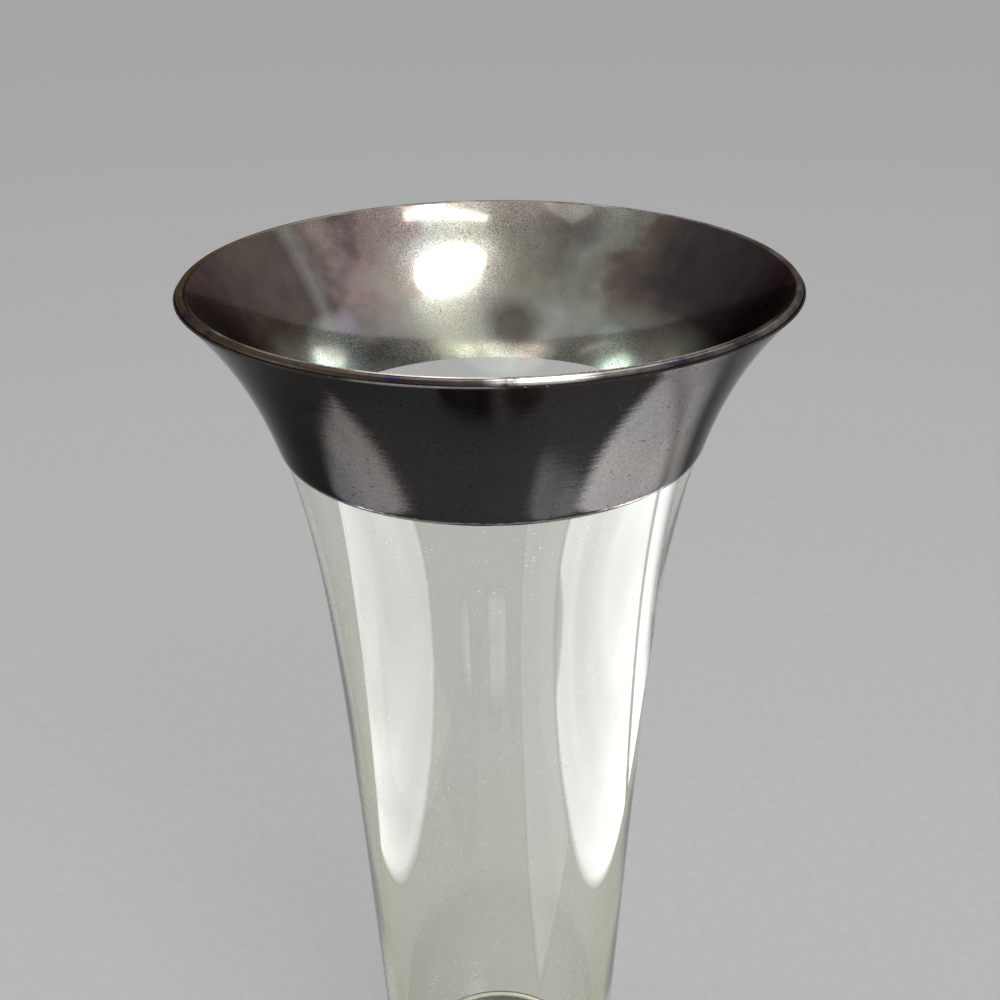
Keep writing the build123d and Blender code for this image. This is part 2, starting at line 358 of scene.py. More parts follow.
def bead(level, height, root, crest, count):
    """A round moulding that stands out from a root to a crest, from its foot to its top."""
    reach = crest - root
    radius = (reach**2 + (height / 2) ** 2) / (2 * reach)
    half = acos((radius - reach) / radius) * 180 / pi
    return arc((crest - radius, level), radius, -half, half, count)


NECK_ROUND = 0.35
KNOP_TURN_STEPS = 160
ring_root = RING_RADIUS - RING_BULGE
low_neck = KNOP_FOOT + RING_HEIGHT
high_neck = KNOP_TOP - RING_HEIGHT
knop_section = [(BORE, KNOP_TOP), (BORE, KNOP_FOOT)]
knop_section += bead(KNOP_FOOT + RING_HEIGHT / 2, RING_HEIGHT, ring_root, RING_RADIUS, 12)
knop_section += [(NECK + NECK_ROUND, low_neck), (NECK, low_neck + NECK_ROUND)]
knop_section += bead(KNOP_MIDDLE, CUSHION, NECK, KNOP_RADIUS, 28)
knop_section += [(NECK, high_neck - NECK_ROUND), (NECK + NECK_ROUND, high_neck)]
knop_section += bead(KNOP_TOP - RING_HEIGHT / 2, RING_HEIGHT, ring_root, RING_RADIUS, 12)
knop = turned(
    "stem_knop_silver", knop_section, ["stem_knop"], steps=KNOP_TURN_STEPS
)

# %% [markdown]
# ## The foot
# The foot is a thin shell spun over a form: a flat crown, a knee, a sloping flank, a round brim
# and a short skirt. A border of three rolled reeds is soldered round the skirt. One helper rounds
# every corner of the outline, so the inner face can follow the outer one at an even distance.

# %% The foot and its reeded border
FOOT_RADIUS = 44.0
FOOT_SHEET = 0.6
BAIZE = 1.2
STAND = 0.5
CROWN = 12.8
CROWN_ROUND = 2.4
KNEE_LEVEL = 15.6
KNEE_ROUND = 5.5
BRIM_LEVEL = 7.2
BRIM_ROUND = 3.2


def rounded(before, corner, after, radius, count):
    """The arc that rounds the corner between two straight runs."""
    a = (Vector(before) - Vector(corner)).normalized()
    b = (Vector(after) - Vector(corner)).normalized()
    half = a.angle(b) / 2
    centre = Vector(corner) + (a + b).normalized() * radius / sin(half)
    start = Vector(corner) + a * radius / tan(half)
    end = Vector(corner) + b * radius / tan(half)
    first = atan2(start.y - centre.y, start.x - centre.x)
    sweep = atan2(end.y - centre.y, end.x - centre.x) - first
    sweep = (sweep + pi) % (2 * pi) - pi
    return arc(centre, radius, first * 180 / pi, (first + sweep) * 180 / pi, count)


def dome(inset):
    """The dome's outline from the crown to the foot of the skirt, at an inset."""
    crown = (CROWN - inset, KNOP_FOOT - inset)
    slope = atan((KNEE_LEVEL - BRIM_LEVEL) / (FOOT_RADIUS - CROWN))
    knee = (CROWN - inset, KNEE_LEVEL - inset * (1 - sin(slope)) / cos(slope))
    brim = (FOOT_RADIUS - inset, BRIM_LEVEL - inset * (1 - sin(slope)) / cos(slope))
    foot = (FOOT_RADIUS - inset, STAND)
    line = [(BORE, crown[1])]
    line += rounded(line[0], crown, knee, CROWN_ROUND - inset, 14)
    line += rounded(crown, knee, brim, KNEE_ROUND + inset, 20)
    flank = rounded(knee, brim, foot, BRIM_ROUND - inset, 18)
    line += divide(line[-1], flank[0], 8)[1:-1] + flank + [foot]
    return line


shell_section = dome(0) + dome(FOOT_SHEET)[::-1]
shell = turned("foot_shell_silver", shell_section, ["foot_shell"])

REEDS = 3
BORDER_HEIGHT = 3.9
BORDER_REACH = 1.4
REED_BULGE = 0.5
reed_root = FOOT_RADIUS + BORDER_REACH - REED_BULGE
reed = BORDER_HEIGHT / REEDS
border_section = [(FOOT_RADIUS, STAND + BORDER_HEIGHT), (FOOT_RADIUS, STAND)]
for i in range(REEDS):
    border_section += bead(STAND + reed * (i + 0.5), reed, reed_root, reed_root + REED_BULGE, 10)
border = turned("foot_border_silver", border_section, ["foot_border"])

# %% [markdown]
# ## The baize
# A disc of baize is glued under the foot so that it doesn't scratch the table. Cloth this thick
# has soft cut edges, so the section is rounded there.

# %% The baize
BAIZE_RADIUS = 43.3
EDGE = 0.35
INNER_ROW = 20.0
OUTER_ROW = 38.0
baize_section = [(0, 0), (INNER_ROW, 0), (OUTER_ROW, 0)]
baize_section += arc((BAIZE_RADIUS - EDGE, EDGE), EDGE, -90, 0, 5)
baize_section += arc((BAIZE_RADIUS - EDGE, BAIZE - EDGE), EDGE, 0, 90, 5)
baize_section += [(OUTER_ROW, BAIZE), (INNER_ROW, BAIZE), (0, BAIZE)]
baize = turned("baize_felt", baize_section, ["baize_pad"], closed=False)

# %% [markdown]
# ## Finishes: a few helpers
# Every finish is made of nodes that read Object coordinates, so a pattern stays fixed to its piece
# from any side. These helpers keep each finish down to a few readable lines.

# %% Helpers for finishes


def new_finish(name):
    """A material with its nodes, links, shader and Object coordinates."""
    finish = bpy.data.materials.new(name)
    finish.use_nodes = True
    nodes, links = finish.node_tree.nodes, finish.node_tree.links
    shader = nodes["Principled BSDF"]
    coordinates = nodes.new("ShaderNodeTexCoord").outputs["Object"]
    print("finish:", name)
    return finish, nodes, links, shader, coordinates


def noise(nodes, links, where, scale, detail=4.0, roughness=0.55, stretch=None):
    """Noise at a scale in cycles a metre, stretched where a direction is given."""
    if stretch:
        mapping = nodes.new("ShaderNodeMapping")
        mapping.inputs["Scale"].default_value = stretch
        links.new(where, mapping.inputs["Vector"])
        where = mapping.outputs["Vector"]
    texture = nodes.new("ShaderNodeTexNoise")
    texture.inputs["Scale"].default_value = scale
    texture.inputs["Detail"].default_value = detail
    texture.inputs["Roughness"].default_value = roughness
    links.new(where, texture.inputs["Vector"])
    return texture.outputs["Fac"]


def ramp(nodes, links, value, stops):
    """A colour ramp from a list of (place, grey or colour) stops."""
    node = nodes.new("ShaderNodeValToRGB")
    band = node.color_ramp
    while len(band.elements) < len(stops):
        band.elements.new(0.5)
    for element, (place, colour) in zip(band.elements, stops):
        element.position = place
        if not hasattr(colour, "__len__"):
            colour = (colour, colour, colour)
        element.color = (*colour, 1)
    links.new(value, node.inputs["Fac"])
    return node.outputs["Color"]


def math(nodes, links, operation, a, b=0.5, clamp=True):
    """One step of arithmetic between two values or sockets."""
    node = nodes.new("ShaderNodeMath")
    node.operation = operation
    node.use_clamp = clamp
    for socket, value in zip(node.inputs, (a, b)):
        if isinstance(value, (int, float)):
            socket.default_value = value
        else:
            links.new(value, socket)
    return node.outputs["Value"]


def mix(nodes, links, factor, a, b, blend="MIX"):
    """One colour laid over another."""
    node = nodes.new("ShaderNodeMix")
    node.data_type = "RGBA"
    node.blend_type = blend
    for index, value in ((0, factor), (6, a), (7, b)):
        if isinstance(value, (int, float)):
            node.inputs[index].default_value = value
        elif isinstance(value, tuple):
            node.inputs[index].default_value = (*value, 1)
        else:
            links.new(value, node.inputs[index])
    return node.outputs[2]


def laid(nodes, links, film, mask, share, colour):
    """A colour laid over a film where a mask is 1, at a share of full strength."""
    return mix(nodes, links, math(nodes, links, "MULTIPLY", mask, share), film, colour)


def bump(nodes, links, shader, height, distance, strength):
    """Relief in metres, from a height between 0 and 1."""
    node = nodes.new("ShaderNodeBump")
    node.inputs["Distance"].default_value = distance
    node.inputs["Strength"].default_value = strength
    links.new(height, node.inputs["Height"])
    links.new(node.outputs["Normal"], shader.inputs["Normal"])


def specks(nodes, links, where, scale, size):
    """Small round specks, 1 on a speck and 0 between them."""
    texture = nodes.new("ShaderNodeTexVoronoi")
    texture.inputs["Scale"].default_value = scale
    links.new(where, texture.inputs["Vector"])
    near = ramp(nodes, links, texture.outputs["Distance"], [(0, 1), (size, 1), (size * 1.4, 0)])
    some = nodes.new("ShaderNodeSeparateColor")
    links.new(texture.outputs["Color"], some.inputs["Color"])
    chosen = math(nodes, links, "GREATER_THAN", some.outputs[0], 0.72)
    return math(nodes, links, "MULTIPLY", near, chosen)


def coordinate(nodes, links, where, axis="Z"):
    """One coordinate of the place, in metres."""
    node = nodes.new("ShaderNodeSeparateXYZ")
    links.new(where, node.inputs["Vector"])
    return node.outputs[axis]


def from_axis(nodes, links, where):
    """The level part of the place, away from the upright axis, and its length in metres."""
    level = nodes.new("ShaderNodeVectorMath")
    level.operation = "MULTIPLY"
    level.inputs[1].default_value = (1, 1, 0)
    links.new(where, level.inputs[0])
    length = nodes.new("ShaderNodeVectorMath")
    length.operation = "LENGTH"
    links.new(level.outputs["Vector"], length.inputs[0])
    return level.outputs["Vector"], length.outputs["Value"]


def between(nodes, links, value, low, high):
    """0 at one value, 1 at another, and straight between."""
    node = nodes.new("ShaderNodeMapRange")
    node.inputs["From Min"].default_value = low
    node.inputs["From Max"].default_value = high
    links.new(value, node.inputs["Value"])
    return node.outputs["Result"]


def spot(nodes, links, where, centre, reach, core):
    """1 near a place and 0 beyond its reach, with the place and both radii in millimetres."""
    node = nodes.new("ShaderNodeVectorMath")
    node.operation = "DISTANCE"
    node.inputs[1].default_value = Vector(centre) * MM
    links.new(where, node.inputs[0])
    return between(nodes, links, node.outputs["Value"], reach * MM, core * MM)


# %% [markdown]
# ## Clear glass
# Old soda glass is very slightly yellow-green, which shows only where light travels far inside it.
# So the tint is an absorption in the volume, and lower down, where the wall is thick, its edges
# are tinted once more. A blown wall is never flat to the light: a slow bump makes the reflections
# bend. Fine grains of dust sit on it, and light comes through them as well as off them.

# %% Clear glass
SODA_GLASS_IOR = 1.51
TINT_DENSITY = 28.0
THIN_LEVEL = 0.215  # heights in metres between which the tint of the edges comes in
THICK_LEVEL = 0.165
clear_glass, nodes, links, shader, where = new_finish("clear_glass")
grazing = nodes.new("ShaderNodeLayerWeight")
grazing.inputs["Blend"].default_value = 0.5
low_down = between(nodes, links, coordinate(nodes, links, where), THIN_LEVEL, THICK_LEVEL)
deep = math(nodes, links, "MULTIPLY", between(
    nodes, links, grazing.outputs["Facing"], 0.55, 0.85), low_down)
body = mix(nodes, links, deep, (0.99, 1.0, 0.985), (0.88, 0.93, 0.66))
links.new(body, shader.inputs["Base Color"])
shader.inputs["Transmission Weight"].default_value = 1.0
shader.inputs["IOR"].default_value = SODA_GLASS_IOR
film = noise(nodes, links, where, 60, 3)
links.new(ramp(nodes, links, film, [(0.35, 0.0), (0.75, 0.035)]), shader.inputs["Roughness"])
waves = noise(nodes, links, where, 22, 2, stretch=(1, 1, 0.35))
bump(nodes, links, shader, waves, 0.0012, 0.5)
pale_dust = nodes.new("ShaderNodeAddShader")
for index, kind in enumerate(("ShaderNodeBsdfDiffuse", "ShaderNodeBsdfTranslucent")):
    side = nodes.new(kind)
    side.inputs["Color"].default_value = (0.92, 0.91, 0.89, 1)
    links.new(side.outputs[0], pale_dust.inputs[index])
dust = specks(nodes, links, where, 1000, 0.12)
drift = ramp(nodes, links, noise(nodes, links, where, 30, 3), [(0.44, 0.05), (0.60, 0.85)])
dust = math(nodes, links, "MULTIPLY", dust, drift)
dusty = nodes.new("ShaderNodeMixShader")
links.new(dust, dusty.inputs[0])
links.new(shader.outputs[0], dusty.inputs[1])
links.new(pale_dust.outputs[0], dusty.inputs[2])
tint = nodes.new("ShaderNodeVolumeAbsorption")
tint.inputs["Color"].default_value = (0.87, 0.95, 0.32, 1)
tint.inputs["Density"].default_value = TINT_DENSITY
output = nodes["Material Output"]
links.new(dusty.outputs[0], output.inputs["Surface"])
links.new(tint.outputs[0], output.inputs["Volume"])
glass.data.materials.append(clear_glass)

# %% [markdown]
# ## Tarnished silver outside
# Silver left in the air grows a nearly black sulphide skin that still shines. It is faintly blue
# in places, pitted with small dark spots, and scored round and round by polishing, and painted
# shade darkens it towards the left. Its grazing tint is dark too, so its edges don't flash white as
# clean metal does. The burnished lower edge has rubbed back to bright metal, and hands have thinned
# the skin along the top. Noise and ramps give all this without a painted image.

# %% Tarnished silver
RUBBED_FROM, RUBBED_TO = 0.28, 0.05
HANDLED_FROM, HANDLED_TO = 1.5, 0.9
tarnished, nodes, links, shader, where = new_finish("tarnished_silver")
shader.inputs["Metallic"].default_value = 1.0
cloud = noise(nodes, links, where, 38, 5)
skin = ramp(nodes, links, cloud, [
    (0.30, (0.061, 0.061, 0.068)), (0.48, (0.072, 0.070, 0.071)),
    (0.62, (0.081, 0.075, 0.071)), (0.78, (0.067, 0.067, 0.074)),
])
shader.inputs["Specular Tint"].default_value = (0.45, 0.45, 0.45, 1)
# painted shade: the skin is darkened towards the left, to 0.58 of its colour at the left edge
painted_left_shade = between(nodes, links, coordinate(nodes, links, where, "X"), -0.030, 0.025)
skin = mix(nodes, links, 1.0, skin, ramp(nodes, links, painted_left_shade, [(0, 0.58), (1, 1.0)]), "MULTIPLY")
grain = noise(nodes, links, where, 2600, 2)
grain = ramp(nodes, links, grain, [(0.35, 0.25), (0.7, 0.9)])
skin = mix(nodes, links, 0.22, skin, grain, "OVERLAY")
long_grain = nodes.new("ShaderNodeMapping")
long_grain.inputs["Scale"].default_value = (0.6, 0.6, 1.5)
links.new(where, long_grain.inputs["Vector"])
pits = specks(nodes, links, long_grain.outputs["Vector"], 1150, 0.14)
fine_pits = specks(nodes, links, long_grain.outputs["Vector"], 2100, 0.17)
for marks, share in ((pits, 0.75), (fine_pits, 0.55)):
    skin = laid(nodes, links, skin, marks, share, (0.008, 0.007, 0.007))
edge_level = LIP_LEVEL - COLLAR_DEPTH
rub = noise(nodes, links, where, 900, 3)
level = math(nodes, links, "SUBTRACT", coordinate(nodes, links, where), math(
    nodes, links, "MULTIPLY", rub, 0.0006), clamp=False)
rubbed = between(
    nodes, links, level, (edge_level + RUBBED_FROM) * MM, (edge_level + RUBBED_TO) * MM
)
skin = mix(nodes, links, rubbed, skin, (0.42, 0.39, 0.36))
handled = between(
    nodes, links, level,
    (OVERALL_HEIGHT - HANDLED_FROM) * MM, (OVERALL_HEIGHT - HANDLED_TO) * MM,
)
skin = mix(nodes, links, handled, skin, (0.17, 0.145, 0.14))
links.new(skin, shader.inputs["Base Color"])
streaky = noise(nodes, links, where, 90, 4, stretch=(1, 1, 12))
links.new(ramp(nodes, links, streaky, [(0.3, 0.02), (0.7, 0.06)]), shader.inputs["Roughness"])
scores = noise(nodes, links, where, 40, 6, 0.7, stretch=(1, 1, 60))
relief = math(nodes, links, "SUBTRACT", scores, math(nodes, links, "MULTIPLY", pits, 0.8))
bump(nodes, links, shader, relief, 0.00003, 0.6)
sleeve.data.materials.append(tarnished)

# %% [markdown]
# ## Toned silver inside the mouth
# Inside, the tarnish is still a thin film, and a thin film colours as oil on water does: straw,
# lilac brown, then teal. Here the colour changes round the mouth, from brown and lilac on the
# left, over teal and straw behind, to brown and nearly black on the right. The hues are the film's,
# but how light or dark it is round the mouth is painted reflection: pale behind, under the
# highlight, and nearly black on the right. Low down it turns to an even grey green, partly the
# film and partly painted light that lifts the dim second reflections there, and soft clouds and a
# finer mottle break it up. A pale streak down the left is a painted reflection of a side lamp.
# Single spots are placed one by one: a painted reflection of a dark figure in front, as a brown
# patch; a darker brown patch; painted shade over a stray highlight near the wire; two painted teal
# glints low down and a painted straw glow between them; and a small lilac patch. A very fine haze
# of smoother and rougher grains puts a soft glow round every highlight.

# %% Toned silver lining
FILM_AND_PAINTED_LIGHT_FROM, FILM_AND_PAINTED_LIGHT_TO = 0.240, 0.233  # heights in metres between which the lining turns an even grey green, partly painted light
PAINTED_STREAK_LEFT, PAINTED_STREAK_RIGHT = -0.825, -0.745  # as shares of the radius, across the mouth
toned, nodes, links, shader, where = new_finish("toned_silver_lining")
shader.inputs["Metallic"].default_value = 1.0
shader.inputs["Specular Tint"].default_value = (0.35, 0.33, 0.33, 1)
round_way = nodes.new("ShaderNodeVectorMath")
round_way.operation = "NORMALIZE"
links.new(from_axis(nodes, links, where)[0], round_way.inputs[0])
round_turn = coordinate(nodes, links, round_way.outputs[0], "X")
sway = noise(nodes, links, where, 42, 4)
swayed = math(nodes, links, "ADD", round_turn, sway, clamp=False)
place = between(nodes, links, swayed, -0.42, 1.42)
# painted reflection: this ramp sets how light or dark the lining is round the mouth, pale behind
# and nearly black on the right, in the film's own hues
film = ramp(nodes, links, place, [
    (0.00, (0.17, 0.135, 0.13)), (0.12, (0.20, 0.16, 0.155)), (0.19, (0.58, 0.47, 0.45)),
    (0.30, (0.60, 0.52, 0.48)), (0.35, (0.78, 0.82, 0.77)), (0.41, (0.80, 0.79, 0.67)),
    (0.46, (0.56, 0.51, 0.46)), (0.54, (0.44, 0.41, 0.36)), (0.62, (0.37, 0.36, 0.31)),
    (0.74, (0.53, 0.56, 0.50)), (0.81, (0.40, 0.40, 0.34)), (0.85, (0.22, 0.18, 0.155)),
    (0.94, (0.09, 0.077, 0.077)), (1.00, (0.065, 0.055, 0.058)),
])
cloud = noise(nodes, links, where, 60, 3, 0.5)
film = mix(nodes, links, 0.45, film, ramp(nodes, links, cloud, [
    (0.30, (0.40, 0.34, 0.36)), (0.50, (0.52, 0.50, 0.48)), (0.70, (0.60, 0.63, 0.52)),
]), "OVERLAY")
# partly painted light: low down the film is lifted to an even grey green, which brightens the dim
# second reflections there
low_down = between(nodes, links, coordinate(nodes, links, where), FILM_AND_PAINTED_LIGHT_FROM, FILM_AND_PAINTED_LIGHT_TO)
film = laid(nodes, links, film, low_down, 0.7, (0.55, 0.60, 0.55))
# painted reflection: a pale streak down the left of the lining stands for a side lamp mirrored
# there
painted_streak_width = between(nodes, links, round_turn, PAINTED_STREAK_LEFT, PAINTED_STREAK_RIGHT)
painted_streak = ramp(nodes, links, painted_streak_width, [(0, 0), (0.5, 0.4), (1, 0)])
film = mix(nodes, links, painted_streak, film, (0.70, 0.72, 0.66))
for centre, reach, core, share, colour in (
    # painted reflection: a dark figure in front, mirrored low at the back, as a brown patch
    ((4.5, 35.2, 232.5), 6.8, 3.0, 0.78, (0.12, 0.09, 0.07)),
    # painted highlights: two pale teal glints low down, where the panes show a second time
    ((-29.0, 21.8, 231.6), 8.5, 2.5, 0.90, (0.86, 1.0, 0.98)),
    ((23.2, 26.6, 229.2), 6.5, 2.0, 0.90, (0.80, 1.0, 0.88)),
    ((-27.0, 26.0, 236.4), 3.6, 1.0, 0.60, (0.72, 0.58, 0.80)),
    # painted light: a straw glow under the main highlight
    ((-8.8, 35.6, 233.6), 8.5, 2.5, 0.55, (1.0, 0.96, 0.78)),
    ((15.5, 36.7, 241.0), 6.5, 1.5, 0.45, (0.22, 0.20, 0.17)),
    # painted shade near the wire, over a stray highlight of the lamp above
    ((17.3, 43.4, 252.8), 9.0, 3.5, 0.62, (0.16, 0.14, 0.13)),
):
    near = spot(nodes, links, where, centre, reach, core)
    film = laid(nodes, links, film, near, share, colour)
mottle = noise(nodes, links, where, 260, 5)
mottle = ramp(nodes, links, mottle, [(0.3, 0.32), (0.7, 0.68)])
film = mix(nodes, links, 0.35, film, mottle, "OVERLAY")
spots = specks(nodes, links, where, 420, 0.07)
film = laid(nodes, links, film, spots, 0.5, (0.05, 0.04, 0.035))
links.new(film, shader.inputs["Base Color"])
haze = noise(nodes, links, where, 9000, 1)
links.new(ramp(nodes, links, haze, [(0.44, 0.07), (0.60, 0.36)]), shader.inputs["Roughness"])
wavy = noise(nodes, links, where, 38, 2)
bump(nodes, links, shader, wavy, 0.0004, 0.35)
lining.data.materials.append(toned)

# %% [markdown]
# ## The rim wire
# Hands and cloths reach the wire most. It is worn to a brown grey with dull gold on the left. In
# front a painted highlight makes one bright stretch, and painted shade makes a dull one beside it.
# In front it also keeps ragged patches of blue-violet tarnish, and fine marks of wear run all round
# it.

# %% The rim wire
worn_wire, nodes, links, shader, where = new_finish("worn_rim_wire")
shader.inputs["Metallic"].default_value = 1.0
cloud = noise(nodes, links, where, 120, 5, 0.65)
metal = ramp(nodes, links, cloud, [
    (0.32, (0.06, 0.050, 0.048)), (0.5, (0.15, 0.132, 0.125)), (0.68, (0.27, 0.24, 0.215)),
])
gilt = between(nodes, links, coordinate(nodes, links, where, "X"), 0.005, -0.035)
metal = laid(nodes, links, metal, gilt, 0.8, (0.10, 0.075, 0.042))
# painted shade: a dull stretch on the front of the wire, left of the highlight
painted_shade_spot = spot(nodes, links, where, (-8.5, -49.2, 253.3), 8.5, 3.5)
metal = laid(nodes, links, metal, painted_shade_spot, 0.7, (0.05, 0.045, 0.046))
shader.inputs["Specular Tint"].default_value = (0.42, 0.39, 0.36, 1)
# painted highlight: a bright stretch on the front of the wire
painted_highlight_spot = spot(nodes, links, where, (6.8, -49.5, 253.3), 8.0, 3.5)
metal = mix(nodes, links, painted_highlight_spot, metal, (0.90, 0.87, 0.82))
patch = noise(nodes, links, where, 210, 4, 0.6)
patch = ramp(nodes, links, patch, [(0.56, 0), (0.64, 0.85)])
front = between(nodes, links, coordinate(nodes, links, where, "Y"), 0.01, -0.02)
patch = math(nodes, links, "MULTIPLY", patch, front)
metal = mix(nodes, links, patch, metal, (0.045, 0.035, 0.085))
links.new(metal, shader.inputs["Base Color"])
scratch = noise(nodes, links, where, 900, 4, 0.7)
links.new(ramp(nodes, links, scratch, [(0.3, 0.24), (0.7, 0.40)]), shader.inputs["Roughness"])
bump(nodes, links, shader, scratch, 0.00005, 0.6)
wire.data.materials.append(worn_wire)

# %% [markdown]
# ## Silver below the glass
# The cup, knop and foot are handled and polished, so their high places are brighter than their
# hollows. These pieces are round, so the distance from the axis tells crest from hollow: the
# crests are rubbed bright, and the hollows between them keep a cloudy brown film with dark spots.

# %% Silver of the cup, the stem and the foot
RUBBED = (0.47, 0.44, 0.41)


def handled_silver(name, crest, hollow, worn, radii):
    """Toned silver for one piece, worn by a share and rubbed bright at the outer radius."""
    finish, nodes, links, shader, where = new_finish(name)
    shader.inputs["Metallic"].default_value = 1.0
    cloud = noise(nodes, links, where, 60, 4)
    middle = 0.5 + 0.2 * (1 - worn)
    film = ramp(nodes, links, cloud, [(0.3, hollow), (middle, crest), (0.85, (0.33, 0.29, 0.27))])
    radius = from_axis(nodes, links, where)[1]
    raised = between(nodes, links, radius, radii[0] * MM, radii[1] * MM)
    film = laid(nodes, links, film, raised, 0.55, RUBBED)
    spots = specks(nodes, links, where, 320, 0.09)
    film = laid(nodes, links, film, spots, 0.55, (0.03, 0.025, 0.022))
    links.new(film, shader.inputs["Base Color"])
    polish = noise(nodes, links, where, 120, 5, stretch=(1, 1, 9))
    links.new(ramp(nodes, links, polish, [(0.3, 0.13), (0.72, 0.3)]), shader.inputs["Roughness"])
    marks = noise(nodes, links, where, 60, 6, 0.7, stretch=(1, 1, 40))
    bump(nodes, links, shader, marks, 0.00003, 0.6)
    return finish


for piece, crest, hollow, worn, radii in (
    (cup, (0.30, 0.285, 0.27), (0.13, 0.105, 0.095), 0.4, (20.0, 24.6)),
    (cup_wire, (0.36, 0.34, 0.315), (0.12, 0.10, 0.085), 0.6, (24.6, 25.5)),
    (knop, (0.30, 0.285, 0.265), (0.10, 0.083, 0.075), 0.5, (7.6, 11.8)),
    (shell, (0.28, 0.265, 0.25), (0.12, 0.10, 0.095), 0.4, (37.0, 43.6)),
    (border, (0.34, 0.32, 0.295), (0.11, 0.09, 0.075), 0.6, (44.95, 45.35)),
):
    finish = handled_silver(piece.name + "_finish", crest, hollow, worn, radii)
    piece.data.materials.append(finish)

# %% [markdown]
# ## Cement, plaster, steel, pitch and board
# These lie inside and hardly show, but someone may open the vase or look up into it, so each has
# the grain of its own stuff.

# %% Hidden materials


def plain_stuff(name, dark, light, scale, rough, relief, metal=0.0):
    """A grainy material between two colours, with relief in metres."""
    finish, nodes, links, shader, where = new_finish(name)
    shader.inputs["Metallic"].default_value = metal
    grain = noise(nodes, links, where, scale, 6, 0.65)
    colour = ramp(nodes, links, grain, [(0.3, dark), (0.7, light)])
    links.new(colour, shader.inputs["Base Color"])
    roughness = ramp(nodes, links, grain, [(0.3, rough[0]), (0.7, rough[1])])
    links.new(roughness, shader.inputs["Roughness"])
    bump(nodes, links, shader, grain, relief, 0.8)
    return finish


stuffs = {
    "collar_cement": plain_stuff(
        "cement", (0.16, 0.13, 0.10), (0.30, 0.26, 0.20), 700, (0.7, 0.9), 0.0001),
    "tie_bolt": plain_stuff(
        "steel", (0.22, 0.20, 0.19), (0.42, 0.40, 0.38), 400, (0.3, 0.5), 0.00005, 1.0),
    "foot_loading": plain_stuff(
        "pitch", (0.012, 0.010, 0.009), (0.035, 0.030, 0.026), 90, (0.25, 0.6), 0.0003),
    "base_disc": plain_stuff(
        "millboard", (0.20, 0.15, 0.10), (0.32, 0.25, 0.17), 600, (0.8, 0.95), 0.0001),
}
stuffs["tie_washer"] = stuffs["tie_nut"] = stuffs["tie_bolt"]
bed.data.materials.append(
    plain_stuff("plaster", (0.55, 0.53, 0.48), (0.74, 0.72, 0.67), 500, (0.8, 0.95), 0.0001)
)
for node_name, finish in stuffs.items():
    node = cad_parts[node_name]
    node.data.materials.clear()
    node.data.materials.append(finish)
print("finished inside:", ", ".join(sorted(stuffs)))

# %% [markdown]
# ## Baize
# Baize is a felted wool. Its fibres lie every way, so two noises at different scales, one of them
# long and thin, stand for nap and stray fibres, and a sheen makes the nap glow at its edge.

# %% Baize
green, nodes, links, shader, where = new_finish("baize")
shader.inputs["Sheen Weight"].default_value = 0.5
shader.inputs["Sheen Roughness"].default_value = 0.5
fibres = noise(nodes, links, where, 1500, 8, 0.75, stretch=(1, 0.35, 1))
nap = noise(nodes, links, where, 420, 5)
wool = ramp(nodes, links, nap, [(0.3, (0.012, 0.055, 0.030)), (0.7, (0.030, 0.110, 0.060))])
wool = mix(nodes, links, 0.5, wool, ramp(nodes, links, fibres, [(0.3, 0.3), (0.7, 0.7)]), "OVERLAY")
links.new(wool, shader.inputs["Base Color"])
links.new(ramp(nodes, links, fibres, [(0.3, 0.85), (0.7, 1.0)]), shader.inputs["Roughness"])
bump(nodes, links, shader, math(nodes, links, "ADD", fibres, nap), 0.0002, 0.9)
baize.data.materials.append(green)

# %% [markdown]
# ## The floor
# A pale floor under a soft sky is the plainest studio there is. The floor is one large plane, and
# a fine speckle keeps it from looking like paper.

# %% The floor
FLOOR_REACH = 9.0
bm = bmesh.new()
bmesh.ops.create_grid(bm, x_segments=8, y_segments=8, size=FLOOR_REACH)
floor_mesh = bpy.data.meshes.new("floor")
bm.to_mesh(floor_mesh)
bm.free()
floor = bpy.data.objects.new("floor", floor_mesh)
bpy.context.scene.collection.objects.link(floor)
pale, nodes, links, shader, where = new_finish("pale_floor")
speckle = noise(nodes, links, where, 300, 4)
links.new(ramp(nodes, links, speckle, [(0.3, 0.445), (0.7, 0.475)]), shader.inputs["Base Color"])
shader.inputs["Roughness"].default_value = 0.8
shader.inputs["Specular IOR Level"].default_value = 0.0
floor.data.materials.append(pale)

# %% [markdown]
# ## The sky
# The sky is pale at the horizon and deeper overhead, as in a room with light walls, so that silver
# and glass have something to show. A ramp over the height of each direction draws it.

# %% The sky
HORIZON = 0.44
OVERHEAD = 0.22
world = bpy.data.worlds.new("sky")
bpy.context.scene.world = world
world.use_nodes = True
nodes, links = world.node_tree.nodes, world.node_tree.links
direction = nodes.new("ShaderNodeTexCoord").outputs["Generated"]
rise = coordinate(nodes, links, direction)
shades = ramp(nodes, links, rise, [(0, HORIZON), (0.5, HORIZON), (0.85, OVERHEAD)])
links.new(shades, nodes["Background"].inputs["Color"])
print("sky: from", HORIZON, "at the horizon to", OVERHEAD, "overhead")

# %% [markdown]
# ## The lamps
# A soft sun gives the even light and the shadow. Silver and glass show only what surrounds them,
# so small panes of light stand where the mouth mirrors them. A rectangle and an ellipse together
# make one highlight with soft corners, a narrow one makes the strip over it, and two at the left
# brighten the rest of the lining.

# %% The lamps
RIM = Vector((0, 0, 0.2533))


def from_rim(azimuth, elevation, distance):
    """A place seen from the middle of the rim, with azimuth 0 towards the camera."""
    a, e = radians(azimuth), radians(elevation)
    return RIM + distance * Vector((sin(a) * cos(e), -cos(a) * cos(e), sin(e)))


